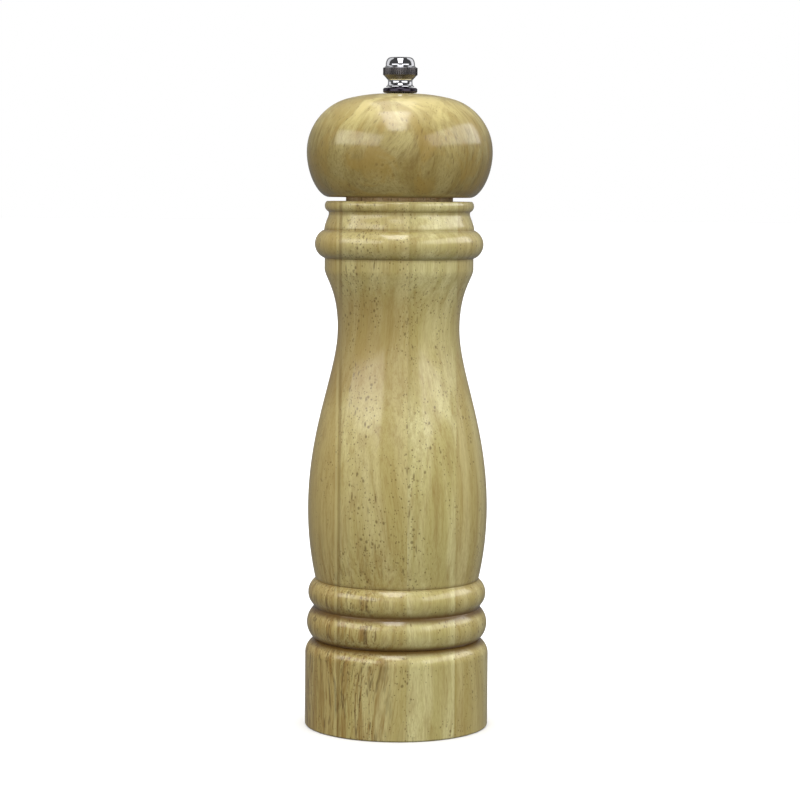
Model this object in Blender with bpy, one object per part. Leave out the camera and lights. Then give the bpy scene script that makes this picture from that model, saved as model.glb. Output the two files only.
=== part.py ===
"""A pepper mill: a turned wooden body and head over a steel grinding mechanism.

Turning the head turns a square shaft and the toothed rotor on it, inside a fixed toothed stator.
The knob on top lifts or lowers the shaft against a spring, which sets how fine the mill grinds.
Sizes are in millimetres and become metres as each mesh is made. Heights run up from the table.
"""

import math

import bmesh
import bpy
from mathutils import Vector

MM = 0.001
FIT = 0.3  # clearance between two pieces that touch or slide
CHAMFER = 0.4  # broken edge on wood and metal

# Outside of the body, from the table up: radius and height of each turned feature.
PLINTH_R = 28.3
PLINTH_H = 22.4
SHOULDER_ROUND = 4.93  # radius of the shoulder's own curve
SHOULDER_H = 4.7
LOW_BEAD_R = 27.8
LOW_BEAD_ROUND = 6.3
LOW_BEAD_H = 9.65
HIGH_BEAD_R = 27.4
HIGH_BEAD_ROUND = 5.1
HIGH_BEAD_H = 8.95
BELLY_R = 27.6
BELLY_ROUND = 100.0
BELLY_H = 21.6
WAIST_R = 18.7
TAPER_H = 55.35
TAPER_LOW_PULL = 0.457  # shares of its height that the curve holds straight at the belly and the waist
TAPER_HIGH_PULL = 0.242
BAND_R = 22.8
FLARE_H = 18.25
FLARE_PULL = 0.55
BAND_H = 3.3
COLLAR_R = 25.8
COLLAR_ROUND = 4.7
COLLAR_H = 8.7
COVE_R = 21.55
COVE_H = 5.0
LIP_R = 22.8
LIP_ROUND = 2.0
LIP_H = 3.65

# Inside of the body.
BORE_R = 13.5  # the chamber that holds the peppercorns
LEDGE_W = 1.8  # wooden ledge above the stator, which carries the bridge
FLANGE_W = 5.7  # step from the stator's barrel out to its recess, where the screws go
RECESS_H = 9.0
SOCKET_H = 9.0

# Head.
HEAD_R = 28.35
HEAD_H = 31.4
HEAD_FLAT_R = 21.5  # flat underside, out to where the curve starts
HEAD_EQUATOR_H = 13.85
CROWN_R = 15.5
CROWN_H = 30.05
HEAD_GAP = 1.2  # the line that shows between body and head
TENON_R = 16.35
HEAD_SHAFT_ROOM = 0.65  # between the shaft's corners and the hole through the head

# Grinding set.
FLANGE_T = 1.5
BARREL_H = 15.3  # stator, from the flange's underside to its rim
TEETH = 24
TOOTH_DEPTH = 0.8
TOOTH_LEAN = 2.0  # degrees round the axis for each millimetre of height
BARREL_WALL = 1.4  # stator metal behind the deepest tooth roots
THROAT_STEP = 1.9  # how far the tooth tips close in from the mouth to the throat
RIM_STEP = 0.2  # and from the mouth to the rim
THROAT_H = 4.8
RUN_GAP = 0.55  # between rotor and stator tooth tips
ROTOR_LIFT = 1.0  # rotor's underside above the stator's
ROTOR_H = 12.8
ROTOR_WALL = 0.44  # thinnest metal outside the square hole's corners
RIDGES = 6  # coarse feed ridges on the rotor's upper part
RIDGE_DEPTH = 1.6
RIDGE_TWIST = 45  # degrees, from the fine teeth to the top
CUP_STEP = 1.04  # from the square hole's corners out to the hollow that holds the washer and the clip
CUP_H = 2.5

# Shaft, spring and the sheet metal round them.
SHAFT_W = 5.0
SHAFT_ROUND = 0.45
JOURNAL_STEP = 0.2  # from the square's flats in to the round journal, and to the thread
THREAD_STEP = 0.05
JOURNAL_BELOW_BAR = 2.8
GROOVE_DEPTH = 0.6
CLIP_T = 0.6
CLIP_MOUTH = 35  # half of the clip's opening, in degrees
CLIP_RELIEF = 1.4  # hollows between the clip's prongs
SHEET_T = 1.2
BRIDGE_W = 6.5
BRIDGE_H = 7.4
BRIDGE_LEAN = 0.6  # how far each leg leans in towards its top
HUB_SHAFT_ROOM = 0.55  # between the shaft's corners and the bridge's hub
HUB_RIM = 2.3
HUB_EDGE = 0.3
WASHER_T = 0.7
WIRE_R = 0.45
SPRING_ROOM = 0.95  # between the shaft's corners and the spring's wire
SPRING_TURNS = 4.5
BAR_T = 1.5
BAR_W = 8.0
PLATE_EDGE = 0.9  # the drive plate's clearance from the chamber wall

# Screws: shank and head radius, and the clear length under the head.
SCREW_R = 1.25
SCREW_HEAD_R = 2.6
SCREW_HEAD_H = 1.6
LONG_SCREW_L = 13.0
SHORT_SCREW_L = 8.0
SCREW_PITCH = 1.6
SCREW_ROOT = 0.3  # depth of the screw thread
DRIVE_SCREW_EDGE = 4.0  # from the drive plate's edge in to its screws

# Adjusting knob and the thread that it runs on.
THREAD_PITCH = 0.8
THREAD_DEPTH = 0.45
THREAD_L = 19.4
THREAD_END_ROOM = 1.2  # from the thread's end to the roof of the knob's hole
DISC_R = 5.22
DISC_T = 1.5
KNOB_H = 8.95
KNOB_R = 5.25
KNOB_FOOT_R = 4.25
KNOB_NECK_R = 3.73
KNOB_NECK_H = 2.1
KNOB_BAND_LOW = 3.6  # heights of the knurled band's two edges
KNOB_BAND_HIGH = 5.75
KNOB_BUTTON_R = 4.46
KNOB_TOP_R = 2.9
KNURLS = 18
KNURL_DEPTH = 0.25
KNOB_ROOF = 1.6  # metal left above the blind threaded hole

# Segments round a turned piece.
WOOD_SEGMENTS = 32
METAL_SEGMENTS = 20
SCREW_SEGMENTS = 10

# Heights of the features, worked out from the sizes above.
SHOULDER_Z = PLINTH_H
LOW_BEAD_Z = SHOULDER_Z + SHOULDER_H
HIGH_BEAD_Z = LOW_BEAD_Z + LOW_BEAD_H
BELLY_Z = HIGH_BEAD_Z + HIGH_BEAD_H
CREST_Z = BELLY_Z + BELLY_H
WAIST_Z = CREST_Z + TAPER_H
BAND_Z = WAIST_Z + FLARE_H
COLLAR_Z = BAND_Z + BAND_H
COVE_Z = COLLAR_Z + COLLAR_H
LIP_Z = COVE_Z + COVE_H
BODY_TOP_Z = LIP_Z + LIP_H
SOCKET_Z = BODY_TOP_Z - SOCKET_H

FLANGE_Z = RECESS_H - FIT - FLANGE_T
STATOR_RIM_Z = FLANGE_Z + BARREL_H
BRIDGE_Z = STATOR_RIM_Z + FIT
LEDGE_Z = BRIDGE_Z + SHEET_T + FIT
BRIDGE_TOP_Z = BRIDGE_Z + BRIDGE_H
ROTOR_Z = FLANGE_Z + ROTOR_LIFT
ROTOR_TOP_Z = ROTOR_Z + ROTOR_H
CUP_TOP_Z = ROTOR_Z + CUP_H
THRUST_Z = BRIDGE_TOP_Z - SHEET_T - FIT - WASHER_T
CLIP_Z = CUP_TOP_Z - 2 * FIT - WASHER_T - CLIP_T
BAR_Z = FLANGE_Z - FIT - BAR_T
JOURNAL_Z = BAR_Z - JOURNAL_BELOW_BAR

HEAD_Z = BODY_TOP_Z + HEAD_GAP
TENON_L = HEAD_GAP + SOCKET_H - FIT
PLATE_Z = HEAD_Z - TENON_L - FIT - SHEET_T
DISC_Z = HEAD_Z + HEAD_H + FIT
KNOB_Z = DISC_Z + DISC_T + FIT
SHAFT_TOP_Z = KNOB_Z + KNOB_H - KNOB_ROOF - THREAD_END_ROOM
THREAD_Z = SHAFT_TOP_Z - THREAD_L

# Radii of the pieces that fit inside one another, from the chamber outwards.
COUNTERBORE_R = BORE_R + LEDGE_W
RECESS_R = COUNTERBORE_R + FLANGE_W
BARREL_R = COUNTERBORE_R - FIT
FLANGE_R = RECESS_R - FIT
MOUTH_R = BARREL_R - BARREL_WALL - TOOTH_DEPTH
THROAT_R = MOUTH_R - THROAT_STEP
RIM_R = MOUTH_R - RIM_STEP
SCREW_HOLE_R = SCREW_R + FIT
SCREW_X = (BARREL_R + FLANGE_R) / 2 + FIT
SOCKET_R = TENON_R + FIT
PLATE_R = BORE_R - PLATE_EDGE
DRIVE_SCREW_CIRCLE = PLATE_R - DRIVE_SCREW_EDGE

# Radii that follow from the shaft's width.
SHAFT_CORNER_R = math.sqrt(2) * (SHAFT_W / 2 - SHAFT_ROUND) + SHAFT_ROUND
SQUARE_HOLE_W = SHAFT_W + 2 * FIT
SQUARE_CORNER_R = SQUARE_HOLE_W / math.sqrt(2)
SHAFT_HOLE_R = SHAFT_CORNER_R + HEAD_SHAFT_ROOM
HUB_HOLE_R = SHAFT_CORNER_R + HUB_SHAFT_ROOM
HUB_R = HUB_HOLE_R + HUB_RIM
SPRING_R = SHAFT_CORNER_R + SPRING_ROOM + WIRE_R
ROTOR_TOP_R = SQUARE_CORNER_R + ROTOR_WALL + RIDGE_DEPTH
CUP_R = SQUARE_CORNER_R + CUP_STEP
CLIP_R = CUP_R - 2 * FIT
JOURNAL_R = SHAFT_W / 2 - JOURNAL_STEP
GROOVE_R = JOURNAL_R - GROOVE_DEPTH
THREAD_R = SHAFT_W / 2 - THREAD_STEP
KNOB_BORE_R = THREAD_R + FIT


def paint(obj, colour, metallic, roughness):
    """Give the object a material of its own."""
    material = bpy.data.materials.new(obj.name)
    material.use_nodes = True
    shader = material.node_tree.nodes["Principled BSDF"]
    shader.inputs["Base Color"].default_value = (*colour, 1)
    shader.inputs["Metallic"].default_value = metallic
    shader.inputs["Roughness"].default_value = roughness
    obj.data.materials.append(material)


def wood(obj):
    paint(obj, (0.48, 0.40, 0.17), 0.0, 0.35)


def chrome(obj):
    paint(obj, (0.80, 0.80, 0.82), 1.0, 0.08)


def bright_steel(obj):
    paint(obj, (0.62, 0.62, 0.60), 1.0, 0.28)


def hard_steel(obj):
    paint(obj, (0.17, 0.17, 0.18), 1.0, 0.42)


def finish_mesh(bm, name, z=0.0, smooth_angle=35):
    """Turn the bmesh, in millimetres, into an object whose origin stands on the mill's axis at height z."""
    bmesh.ops.remove_doubles(bm, verts=bm.verts, dist=1e-4)
    bmesh.ops.recalc_face_normals(bm, faces=bm.faces)
    bmesh.ops.scale(bm, vec=Vector((MM, MM, MM)), verts=bm.verts)
    mesh = bpy.data.meshes.new(name)
    bm.to_mesh(mesh)
    bm.free()
    mesh.shade_smooth()
    mesh.set_sharp_from_angle(angle=math.radians(smooth_angle))
    obj = bpy.data.objects.new(name, mesh)
    obj.location.z = z * MM
    bpy.context.scene.collection.objects.link(obj)
    return obj


def turned(name, outline, segments, z=0.0):
    """Spin a closed (radius, height) outline about the vertical axis."""
    bm = bmesh.new()
    verts = [bm.verts.new((radius, 0, height)) for radius, height in outline]
    edges = [bm.edges.new(pair) for pair in zip(verts, verts[1:] + verts[:1])]
    bmesh.ops.spin(
        bm,
        geom=verts + edges,
        cent=(0, 0, 0),
        axis=(0, 0, 1),
        angle=math.tau,
        steps=segments,
        use_merge=True,
    )
    return finish_mesh(bm, name, z)


def plate(name, outline, bottom, top, z=0.0):
    """Extrude a closed (x, y) outline from height bottom to height top."""
    bm = bmesh.new()
    face = bm.faces.new([bm.verts.new((x, y, bottom)) for x, y in outline])
    raised = bmesh.ops.extrude_face_region(bm, geom=[face])["geom"]
    moved = [item for item in raised if isinstance(item, bmesh.types.BMVert)]
    bmesh.ops.translate(bm, vec=(0, 0, top - bottom), verts=moved)
    return finish_mesh(bm, name, z)


def lofted(name, rings, closed, z=0.0):
    """Skin a list of rings, each a list of points; closed joins the last ring to the first."""
    bm = bmesh.new()
    loops = [[bm.verts.new(point) for point in ring] for ring in rings]
    pairs = list(zip(loops, loops[1:]))
    if closed:
        pairs.append((loops[-1], loops[0]))
    else:
        bm.faces.new(loops[0])
        bm.faces.new(loops[-1])
    for low, high in pairs:
        for i in range(len(low)):
            j = (i + 1) % len(low)
            bm.faces.new((low[i], low[j], high[j], high[i]))
    return finish_mesh(bm, name, z)


def polar(radius, degrees):
    """The (x, y) point at this radius and angle."""
    angle = math.radians(degrees)
    return (radius * math.cos(angle), radius * math.sin(angle))


def ring(radii, height, twist=0.0):
    """Points at the given radii, evenly round the axis, turned by twist degrees."""
    step = 360 / len(radii)
    return [(*polar(radius, twist + step * i), height) for i, radius in enumerate(radii)]


def boolean(obj, tool, operation):
    """Add an exact Boolean and keep its tool out of the finished part."""
    modifier = obj.modifiers.new(tool.name, "BOOLEAN")
    modifier.operation = operation
    modifier.object = tool
    tool.hide_render = True
    tool.display_type = "WIRE"


def drill(obj, radius, bottom, top, x=0.0, y=0.0, segments=SCREW_SEGMENTS):
    """Cut a round hole between two heights in the object's own frame."""
    cutter = turned(
        f"{obj.name}_drill",
        [(0, bottom), (radius, bottom), (radius, top), (0, top)],
        segments,
    )
    cutter.location = (x * MM, y * MM, obj.location.z)
    boolean(obj, cutter, "DIFFERENCE")


def square_hole(obj, width, bottom, top):
    """Cut a square hole on the axis between two heights in the object's own frame."""
    half = width / 2
    corners = [(-half, -half), (half, -half), (half, half), (-half, half)]
    cutter = plate(f"{obj.name}_square", corners, bottom, top, obj.location.z / MM)
    boolean(obj, cutter, "DIFFERENCE")


def arc(crest_r, crest_z, rounding, z_from, z_to, steps):
    """A turned bead's outline: the part of its circle between two heights."""
    start = math.asin((z_from - crest_z) / rounding)
    end = math.asin((z_to - crest_z) / rounding)
    points = []
    for i in range(steps + 1):
        angle = start + (end - start) * i / steps
        inset = rounding * (1 - math.cos(angle))
        points.append((crest_r - inset, crest_z + rounding * math.sin(angle)))
    return points


def bezier(p0, p1, p2, p3, steps):
    """A cubic curve from p0 to p3, without its first point."""
    points = []
    for i in range(1, steps + 1):
        t = i / steps
        weights = ((1 - t) ** 3, 3 * t * (1 - t) ** 2, 3 * t * t * (1 - t), t**3)
        ends = zip(weights, (p0, p1, p2, p3))
        radius, height = (sum(terms) for terms in zip(*((w * p[0], w * p[1]) for w, p in ends)))
        points.append((radius, height))
    return points


def bead(radius, rounding, z_low, z_high, steps):
    """A bead whose crest is midway between its two grooves."""
    return arc(radius, (z_low + z_high) / 2, rounding, z_low, z_high, steps)


def body_outside():
    """The body's turned outside, from the base edge up to the lip."""
    outline = [(PLINTH_R - CHAMFER, 0), (PLINTH_R, CHAMFER)]
    outline += arc(PLINTH_R, SHOULDER_Z, SHOULDER_ROUND, SHOULDER_Z, LOW_BEAD_Z, 5)
    outline += bead(LOW_BEAD_R, LOW_BEAD_ROUND, LOW_BEAD_Z, HIGH_BEAD_Z, 7)
    outline += bead(HIGH_BEAD_R, HIGH_BEAD_ROUND, HIGH_BEAD_Z, BELLY_Z, 7)[1:]
    outline += arc(BELLY_R, CREST_Z, BELLY_ROUND, BELLY_Z, CREST_Z, 5)
    outline += taper()
    outline += flare_and_band()
    outline += bead(COLLAR_R, COLLAR_ROUND, COLLAR_Z, COVE_Z, 8)
    outline += cove_and_lip()
    return outline


def taper():
    """From the belly's crest in to the waist."""
    below = (BELLY_R, CREST_Z + TAPER_LOW_PULL * TAPER_H)
    above = (WAIST_R, WAIST_Z - TAPER_HIGH_PULL * TAPER_H)
    return bezier((BELLY_R, CREST_Z), below, above, (WAIST_R, WAIST_Z), 11)


def flare_and_band():
    """From the waist out to the straight band under the collar."""
    corner = (BAND_R - 0.25, BAND_Z - 1.2)
    below = (WAIST_R, WAIST_Z + FLARE_PULL * FLARE_H)
    above = (corner[0] - 1.05, corner[1] - 3.0)
    flare = bezier((WAIST_R, WAIST_Z), below, above, corner, 6)
    return flare + [(BAND_R, BAND_Z), (BAND_R, COLLAR_Z)]


def cove_and_lip():
    """From the collar in to the cove and out again to the lip that the head stands over."""
    step = (BAND_R + 0.15, COVE_Z + 0.2)
    cove = bezier(step, (step[0], COVE_Z + 1.7), (COVE_R, LIP_Z - 1.2), (COVE_R, LIP_Z), 4)
    crest_z = BODY_TOP_Z - 0.7 * LIP_ROUND
    return [step] + cove + arc(LIP_R, crest_z, LIP_ROUND, crest_z - 0.9 * LIP_ROUND, BODY_TOP_Z, 5)


def body_shell():
    """Turned body: recess and counterbore for the mechanism, pepper chamber, and socket for the head."""
    inside = [
        (SOCKET_R + CHAMFER, BODY_TOP_Z),
        (SOCKET_R, BODY_TOP_Z - CHAMFER),
        (SOCKET_R, SOCKET_Z),
        (BORE_R, SOCKET_Z),
        (BORE_R, LEDGE_Z),
        (COUNTERBORE_R, LEDGE_Z),
        (COUNTERBORE_R, RECESS_H),
        (RECESS_R, RECESS_H),
        (RECESS_R, 0),
    ]
    body = turned("body_shell", body_outside() + inside, WOOD_SEGMENTS)
    wood(body)
    for side in (1, -1):
        drill(body, SCREW_HOLE_R, RECESS_H - 1, FLANGE_Z + LONG_SCREW_L, x=side * SCREW_X)
    return body


def head_outline():
    """The head's turned outline, from the shaft hole out over the dome and back down the tenon."""
    flat = (HEAD_FLAT_R, 0)
    equator = (HEAD_R, HEAD_EQUATOR_H)
    crown = (CROWN_R, CROWN_H)
    outline = [(SHAFT_HOLE_R, -TENON_L), (TENON_R - CHAMFER, -TENON_L)]
    outline += [(TENON_R, CHAMFER - TENON_L), (TENON_R, 0), flat]
    outline += bezier(flat, (HEAD_FLAT_R + 3, 0), (HEAD_R, HEAD_EQUATOR_H - 7.5), equator, 7)
    outline += bezier(equator, (HEAD_R, HEAD_EQUATOR_H + 8), (CROWN_R + 7, CROWN_H - 1.6), crown, 8)
    seat = (DISC_R + FIT, HEAD_H)
    outline += bezier(crown, (CROWN_R - 3, CROWN_H + 0.7), (seat[0] + 3.5, HEAD_H), seat, 4)
    return outline + [(SHAFT_HOLE_R, HEAD_H)]


def screw_places():
    """Where the drive plate's screws sit, as (x, y)."""
    angles = [math.radians(90 + 120 * i) for i in range(3)]
    return [(DRIVE_SCREW_CIRCLE * math.cos(a), DRIVE_SCREW_CIRCLE * math.sin(a)) for a in angles]


def head():
    """Turned head, with the tenon that turns in the body's socket and a hole for the shaft."""
    top = turned("head", head_outline(), WOOD_SEGMENTS, HEAD_Z)
    wood(top)
    for x, y in screw_places():
        drill(top, SCREW_HOLE_R, -TENON_L - 1, SHORT_SCREW_L - TENON_L, x=x, y=y)
    return top


def tooth_radii(tip, depth):
    """Sharp teeth: columns alternate between tip and root; a negative depth points them inwards."""
    return [tip, tip - depth] * TEETH


def stator_burr():
    """Fixed grinding ring: a screwed flange and a barrel with slanting teeth inside."""
    columns = 2 * TEETH
    outer = [(FLANGE_R, 0), (FLANGE_R, FLANGE_T), (BARREL_R, FLANGE_T)]
    outer += [(BARREL_R, BARREL_H - CHAMFER), (BARREL_R - CHAMFER, BARREL_H)]
    rings = [ring([radius] * columns, height) for radius, height in outer]
    inner = [(RIM_R, BARREL_H), ((RIM_R + THROAT_R) / 2, (BARREL_H + THROAT_H) / 2)]
    inner += [(THROAT_R, THROAT_H), ((THROAT_R + MOUTH_R) / 2, THROAT_H / 2), (MOUTH_R, 0)]
    for radius, height in inner:
        rings.append(ring(tooth_radii(radius, -TOOTH_DEPTH), height, TOOTH_LEAN * (THROAT_H - height)))
    burr = lofted("stator_burr", rings, True, FLANGE_Z)
    hard_steel(burr)
    for side in (1, -1):
        drill(burr, SCREW_HOLE_R, -1, FLANGE_T + 1, x=side * SCREW_X)
    return burr


def ridge_radii(outer):
    """Coarse ridges that feed the peppercorns down: steep on one side, sloping on the other."""
    columns = 2 * TEETH
    per_ridge = columns // RIDGES
    return [outer - RIDGE_DEPTH * ((i % per_ridge) / per_ridge) for i in range(columns)]


def rotor_burr():
    """Turning cone: fine teeth below, twisted feed ridges above, a square hole for the shaft."""
    throat = THROAT_H - ROTOR_LIFT
    slope = (MOUTH_R - THROAT_R) / THROAT_H
    rings = []
    for height in (0, throat / 2, throat):
        tip = THROAT_R - RUN_GAP + slope * (throat - height)
        rings.append(ring(tooth_radii(tip, TOOTH_DEPTH), height, TOOTH_LEAN * height))
    base_r, base_h = THROAT_R - RUN_GAP - TOOTH_DEPTH, throat + 0.8
    steps = 4
    for i in range(steps + 1):
        part = i / steps
        radius = base_r + (ROTOR_TOP_R - base_r) * part
        height = base_h + (ROTOR_H - base_h) * part
        rings.append(ring(ridge_radii(radius), height, -RIDGE_TWIST * part))
    burr = lofted("rotor_burr", rings, False, ROTOR_Z)
    hard_steel(burr)
    drill(burr, CUP_R, -1, CUP_H, segments=METAL_SEGMENTS)
    square_hole(burr, SQUARE_HOLE_W, CUP_H - 0.5, ROTOR_H + 1)
    return burr


def shaft_bridge():
    """Bent strip clamped between the stator's rim and the ledge; its hub steadies the shaft."""
    foot_end = math.sqrt(BARREL_R**2 - (BRIDGE_W / 2) ** 2)
    riser = BORE_R - 3 * FIT
    bend = riser - BRIDGE_LEAN
    above = [(foot_end, 0), (foot_end, SHEET_T), (riser, SHEET_T), (bend, BRIDGE_H)]
    below = [(bend - SHEET_T, BRIDGE_H - SHEET_T), (riser - SHEET_T, 0)]
    outline = above + [(-x, height) for x, height in reversed(above)]
    outline += [(-x, height) for x, height in reversed(below)] + below
    bridge = bent_strip("shaft_bridge", outline, BRIDGE_W, BRIDGE_Z)
    bright_steel(bridge)
    hub_low, hub_high = BRIDGE_H - SHEET_T + 0.2, BRIDGE_H + 0.4
    hub_outline = [(0, hub_low), (HUB_R, hub_low), (HUB_R, hub_high - HUB_EDGE)]
    hub_outline += [(HUB_R - HUB_EDGE, hub_high), (0, hub_high)]
    hub = turned("shaft_bridge_hub", hub_outline, METAL_SEGMENTS, BRIDGE_Z)
    boolean(bridge, hub, "UNION")
    drill(bridge, HUB_HOLE_R, BRIDGE_H - 2 * SHEET_T, BRIDGE_H + SHEET_T, segments=METAL_SEGMENTS)
    return bridge


def bent_strip(name, outline, width, z):
    """Extrude an (x, height) outline across its width and round every bend."""
    bm = bmesh.new()
    face = bm.faces.new([bm.verts.new((x, -width / 2, height)) for x, height in outline])
    raised = bmesh.ops.extrude_face_region(bm, geom=[face])["geom"]
    moved = [item for item in raised if isinstance(item, bmesh.types.BMVert)]
    bmesh.ops.translate(bm, vec=(0, width, 0), verts=moved)
    across = [edge for edge in bm.edges if abs(edge.verts[0].co.y - edge.verts[1].co.y) > width / 2]
    bmesh.ops.bevel(bm, geom=across, offset=CHAMFER, segments=2, affect="EDGES", profile=0.5)
    return finish_mesh(bm, name, z)


def washer(name, inner, outer, thickness, z, segments=METAL_SEGMENTS):
    """Flat ring."""
    return turned(name, [(inner, 0), (outer, 0), (outer, thickness), (inner, thickness)], segments, z)


def thrust_washer():
    """Washer that the spring pushes up against the bridge's hub."""
    ring_washer = washer("thrust_washer", HUB_HOLE_R, HUB_R - CHAMFER, WASHER_T, THRUST_Z)
    bright_steel(ring_washer)
    return ring_washer


def compression_spring():
    """Coil that pushes the rotor down, away from the thrust washer."""
    low = ROTOR_TOP_Z + FIT + WIRE_R
    high = THRUST_Z - FIT - WIRE_R
    curve = bpy.data.curves.new("compression_spring", "CURVE")
    curve.dimensions = "3D"
    curve.bevel_depth = WIRE_R * MM
    curve.bevel_resolution = 1
    curve.use_fill_caps = True
    steps = int(SPRING_TURNS * 12)
    spline = curve.splines.new("POLY")
    spline.points.add(steps)
    for i, point in enumerate(spline.points):
        angle = math.tau * SPRING_TURNS * i / steps
        height = low + (high - low) * i / steps
        point.co = (SPRING_R * math.cos(angle) * MM, SPRING_R * math.sin(angle) * MM, height * MM, 1)
    spring = bpy.data.objects.new("compression_spring", curve)
    bpy.context.scene.collection.objects.link(spring)
    bright_steel(spring)
    return spring


def rounded_square(width, rounding, steps=3):
    """Corner points of a square bar with its edges rounded."""
    centre = width / 2 - rounding
    points = []
    for quarter in range(4):
        corner = math.radians(45 + 90 * quarter)
        x = math.copysign(centre, math.cos(corner))
        y = math.copysign(centre, math.sin(corner))
        for i in range(steps):
            angle = corner + math.radians(90) * (i / (steps - 1) - 0.5)
            points.append((x + rounding * math.cos(angle), y + rounding * math.sin(angle)))
    return points


def cut_square(bm, height, keep_above):
    """Cut the mesh with a level plane, drop one side and close the cut."""
    cut = bmesh.ops.bisect_plane(
        bm,
        geom=bm.verts[:] + bm.edges[:] + bm.faces[:],
        plane_co=(0, 0, height),
        plane_no=(0, 0, 1),
        clear_inner=keep_above,
        clear_outer=not keep_above,
    )
    rim = [item for item in cut["geom_cut"] if isinstance(item, bmesh.types.BMEdge)]
    bmesh.ops.contextual_create(bm, geom=rim)


def screw_thread(name, length, z):
    """Threaded rod: a V profile swept up a helix, then cut square at both ends."""
    bm = bmesh.new()
    root = THREAD_R - THREAD_DEPTH
    profile = [(root, 0), (THREAD_R, THREAD_PITCH / 2), (root, THREAD_PITCH)]
    verts = [bm.verts.new((radius, 0, height - THREAD_PITCH)) for radius, height in profile]
    edges = [bm.edges.new(pair) for pair in zip(verts, verts[1:])]
    turns = int(length / THREAD_PITCH) + 3
    bmesh.ops.spin(
        bm,
        geom=verts + edges,
        cent=(0, 0, 0),
        axis=(0, 0, 1),
        dvec=(0, 0, THREAD_PITCH / SCREW_SEGMENTS),
        angle=math.tau * turns,
        steps=SCREW_SEGMENTS * turns,
    )
    bmesh.ops.remove_doubles(bm, verts=bm.verts, dist=1e-3)
    cut_square(bm, THREAD_PITCH, keep_above=True)
    cut_square(bm, length, keep_above=False)
    for vert in bm.verts:
        limit = THREAD_R - max(0, vert.co.z - (length - THREAD_DEPTH))
        flat = math.hypot(vert.co.x, vert.co.y)
        if flat > limit:
            vert.co.x *= limit / flat
            vert.co.y *= limit / flat
    return finish_mesh(bm, name, z)


def drive_shaft():
    """Square shaft: a round journal with a clip groove at the bottom, a thread for the knob at the top."""
    square_z = CUP_TOP_Z + 0.5
    shaft = plate("drive_shaft", rounded_square(SHAFT_W, SHAFT_ROUND), square_z, THREAD_Z)
    bright_steel(shaft)
    groove_low, groove_high = CLIP_Z - FIT, CLIP_Z + CLIP_T + FIT
    journal = [(0, JOURNAL_Z), (JOURNAL_R - CHAMFER, JOURNAL_Z), (JOURNAL_R, JOURNAL_Z + CHAMFER)]
    journal += [(JOURNAL_R, groove_low), (GROOVE_R, groove_low)]
    journal += [(GROOVE_R, groove_high), (JOURNAL_R, groove_high)]
    journal += [(JOURNAL_R, square_z + 1), (0, square_z + 1)]
    boolean(shaft, turned("drive_shaft_journal", journal, METAL_SEGMENTS), "UNION")
    neck_r = THREAD_R - THREAD_DEPTH - 0.1
    neck = [(0, THREAD_Z - 1), (neck_r, THREAD_Z - 1), (neck_r, THREAD_Z + 2), (0, THREAD_Z + 2)]
    boolean(shaft, turned("drive_shaft_neck", neck, METAL_SEGMENTS), "UNION")
    thread = screw_thread("drive_shaft_thread", THREAD_L, THREAD_Z)
    boolean(shaft, thread, "UNION")
    return shaft


def drive_plate():
    """Disc screwed under the tenon; its square hole turns the shaft with the head."""
    outline = [(0, 0), (PLATE_R, 0), (PLATE_R, SHEET_T), (0, SHEET_T)]
    disc = turned("drive_plate", outline, WOOD_SEGMENTS, PLATE_Z)
    bright_steel(disc)
    square_hole(disc, SQUARE_HOLE_W, -1, SHEET_T + 1)
    for x, y in screw_places():
        drill(disc, SCREW_HOLE_R, -1, SHEET_T + 1, x=x, y=y)
    return disc


def wood_screw(name, length, x, y, z):
    """Cross-slotted pan-head screw pointing up, its head's seat at height z."""
    root = SCREW_R - SCREW_ROOT
    outline = [(0, -SCREW_HEAD_H), (0.6 * SCREW_HEAD_R, -SCREW_HEAD_H)]
    outline += [(0.92 * SCREW_HEAD_R, -0.7 * SCREW_HEAD_H), (SCREW_HEAD_R, -0.3 * SCREW_HEAD_H)]
    outline += [(SCREW_HEAD_R, 0), (root, 0)]
    for i in range(int((length - 2) / SCREW_PITCH)):
        height = 2 + i * SCREW_PITCH
        outline += [(root, height - 0.4), (SCREW_R, height), (root, height + 0.4)]
    outline += [(root, length - 1.2), (0, length)]
    screw = turned(name, outline, SCREW_SEGMENTS, z)
    screw.location.x = x * MM
    screw.location.y = y * MM
    bright_steel(screw)
    arm, slot = 0.55 * SCREW_HEAD_R, 0.14 * SCREW_HEAD_R
    cross = []
    for quarter in range(4):
        c, s = round(math.cos(math.tau * quarter / 4)), round(math.sin(math.tau * quarter / 4))
        for px, py in ((arm, -slot), (arm, slot), (slot, slot)):
            cross.append((px * c - py * s, px * s + py * c))
    cutter = plate(f"{name}_slot", cross, -2 * SCREW_HEAD_H, -0.45 * SCREW_HEAD_H)
    cutter.location = screw.location
    boolean(screw, cutter, "DIFFERENCE")
    return screw


def drive_plate_screws():
    """Three short screws through the drive plate into the tenon."""
    screws = []
    for i, (x, y) in enumerate(screw_places(), start=1):
        screws.append(wood_screw(f"drive_plate_screw_{i}", SHORT_SCREW_L, x, y, PLATE_Z - FIT))
    return screws


def retainer_screws():
    """Two long screws through the bar and the stator's flange into the body."""
    screws = []
    for i, side in enumerate((1, -1), start=1):
        screws.append(wood_screw(f"retainer_screw_{i}", LONG_SCREW_L, side * SCREW_X, 0, BAR_Z - FIT))
    return screws


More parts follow.
